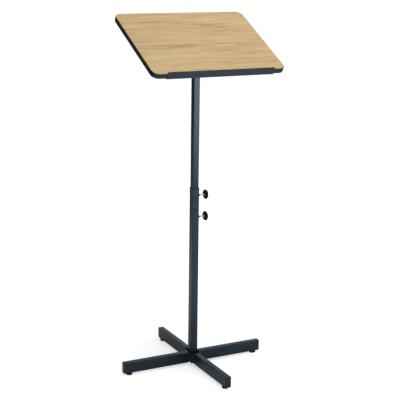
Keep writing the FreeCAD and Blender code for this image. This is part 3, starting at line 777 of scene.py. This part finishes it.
def plain_stage_material(name, diffuse, glow):
    """Pale diffuse plus a glow of (centre, peak, far) strengths at (start, peak, far) radii."""
    material = bpy.data.materials.new(name)
    material.use_nodes = True
    tree = material.node_tree
    shader = tree.nodes["Principled BSDF"]
    shader.inputs["Base Color"].default_value = (diffuse, diffuse, diffuse, 1)
    shader.inputs["Roughness"].default_value = 1.0
    shader.inputs["Specular IOR Level"].default_value = 0.0
    shader.inputs["Emission Color"].default_value = (1, 1, 1, 1)
    (centre, peak, far), (start_radius, peak_radius, far_radius) = glow
    where = tree.nodes.new("ShaderNodeTexCoord")
    length = tree.nodes.new("ShaderNodeVectorMath")
    length.operation = "LENGTH"
    tree.links.new(where.outputs["Object"], length.inputs[0])
    both = tree.nodes.new("ShaderNodeMath")
    both.operation = "MULTIPLY"
    for i, values in enumerate(((start_radius, peak_radius, centre, peak),
                                (peak_radius, far_radius, 1, far / peak))):
        part = tree.nodes.new("ShaderNodeMapRange")
        part.interpolation_type = "SMOOTHSTEP"
        for socket, value in zip(("From Min", "From Max", "To Min", "To Max"), values):
            part.inputs[socket].default_value = value
        tree.links.new(length.outputs["Value"], part.inputs["Value"])
        tree.links.new(part.outputs["Result"], both.inputs[i])
    tree.links.new(both.outputs[0], shader.inputs["Emission Strength"])
    return material


def disc(name, radius, height, material):
    mesh = bpy.data.meshes.new(name)
    shape = bmesh.new()
    bmesh.ops.create_circle(shape, cap_ends=True, segments=96, radius=radius,
                            matrix=Matrix.Translation((0, 0, height)))
    shape.to_mesh(mesh)
    shape.free()
    mesh.materials.append(material)
    made = bpy.data.objects.new(name, mesh)
    scene.collection.objects.link(made)
    return made


def seen_by(made, by_camera, by_light):
    """Whether the camera sees it, and whether light that bounces on it reaches the object."""
    made.visible_camera = by_camera
    made.visible_diffuse = by_light
    made.visible_glossy = by_light
    made.visible_transmission = by_light
    made.visible_shadow = False


def floor_and_backdrop():
    """A pale floor for the camera, and the pool of light that the object sees on it."""
    floor_radius, pool_radius, sky_radius = 40, 12, 38
    shown = disc("floor", floor_radius, 0, plain_stage_material(
        "pale_floor", 0.82, ((0.58, 0.70, 1.0), (0, 0.6, 2.2))))
    seen_by(shown, True, False)
    # The pool's glow is painted light for the lit floor round the base; it is dimmest at the centre, a painted
    # shade under the desk.
    pool = disc("light_pool", pool_radius, -1 * MM,
                plain_stage_material("light_pool", 0.8,
                                     ((0.03, 0.55, 0.01), (0.15, 0.95, 2.0))))
    seen_by(pool, False, True)
    sky = bpy.data.meshes.new("backdrop")
    dome = bmesh.new()
    bmesh.ops.create_icosphere(dome, subdivisions=4, radius=sky_radius)
    dome.to_mesh(sky)
    dome.free()
    sky.materials.append(plain_stage_material("white_backdrop", 0.0, ((1, 1, 1), (0, 1, 2))))
    backdrop = bpy.data.objects.new("backdrop", sky)
    scene.collection.objects.link(backdrop)
    seen_by(backdrop, True, False)


def softbox(name, position, target, width, height, power, colour=(1, 1, 1)):
    """A rectangular light that faces a target. It isn't seen by the camera."""
    light = bpy.data.lights.new(name, "AREA")
    light.shape = "RECTANGLE"
    light.size, light.size_y = width, height
    light.energy = power
    light.color = colour
    made = bpy.data.objects.new(name, light)
    scene.collection.objects.link(made)
    position = Vector(position)
    made.matrix_world = Matrix.Translation(position) @ (
        Vector(target) - position).to_track_quat("-Z", "Y").to_matrix().to_4x4()
    made.visible_camera = False
    return made


def lights():
    top, middle = cad_high.z, (cad_low.z + cad_high.z) / 2
    column = Vector((0, 0, middle))
    softbox("overhead_softbox", (0.3, -0.7, top + 1.8), (0, 0, top - 0.1), 2.0, 2.0, 46)
    softbox("front_softbox", (1.25, -2.4, middle + 0.29), (0, 0, middle + 0.29), 1.2, 1.3, 23)
    softbox("reader_card", (-1.0, -3.4, middle + 0.45), column, 0.7, 1.5, 6)
    softbox("rear_card", (1.8, 3.5, middle + 0.3), column, 3.2, 1.3, 13, (0.82, 0.92, 1))
    softbox("low_left_card", (-1.9, -1.1, 0.45), (0, 0, 0.45), 1.2, 0.9, 8, (0.9, 0.96, 1))
    softbox("rear_left_card", (-2.6, 2.6, top + 0.9), column, 1.8, 1.2, 16)
    softbox("right_card", (3.4, 0.4, top + 0.5), column, 1.6, 1.2, 12)
    world = bpy.data.worlds.new("studio")
    world.use_nodes = True
    background = world.node_tree.nodes["Background"]
    background.inputs["Color"].default_value = (0.86, 0.94, 1.0, 1)
    background.inputs["Strength"].default_value = 0.07
    scene.world = world


# ---------------------------------------------------------------- camera

def camera():
    """At the reader's left, a little above the desk, looking down at the column."""
    yaw, pitch, roll = math.radians(27.27), math.radians(13.42), math.radians(0.74)
    distance, aim_right, aim_height = 3.6589, 0.0195, 0.5959
    forward = Vector((math.sin(yaw) * math.cos(pitch), math.cos(yaw) * math.cos(pitch),
                      -math.sin(pitch)))
    level = Vector((math.cos(yaw), -math.sin(yaw), 0))
    up = level.cross(forward)
    right = level * math.cos(roll) + up * math.sin(roll)
    up = up * math.cos(roll) - level * math.sin(roll)
    place = Vector((0, 0, aim_height)) + level * aim_right - forward * distance
    data = bpy.data.cameras.new("camera")
    data.sensor_width, data.lens = 36, 95.97
    data.clip_end = 100
    made = bpy.data.objects.new("camera", data)
    scene.collection.objects.link(made)
    turn = Matrix((right, up, -forward)).transposed().to_4x4()
    made.matrix_world = Matrix.Translation(place) @ turn
    scene.camera = made


scene.view_settings.view_transform = "Standard"
dress_frame()
all_pieces()
floor_and_backdrop()
lights()
camera()
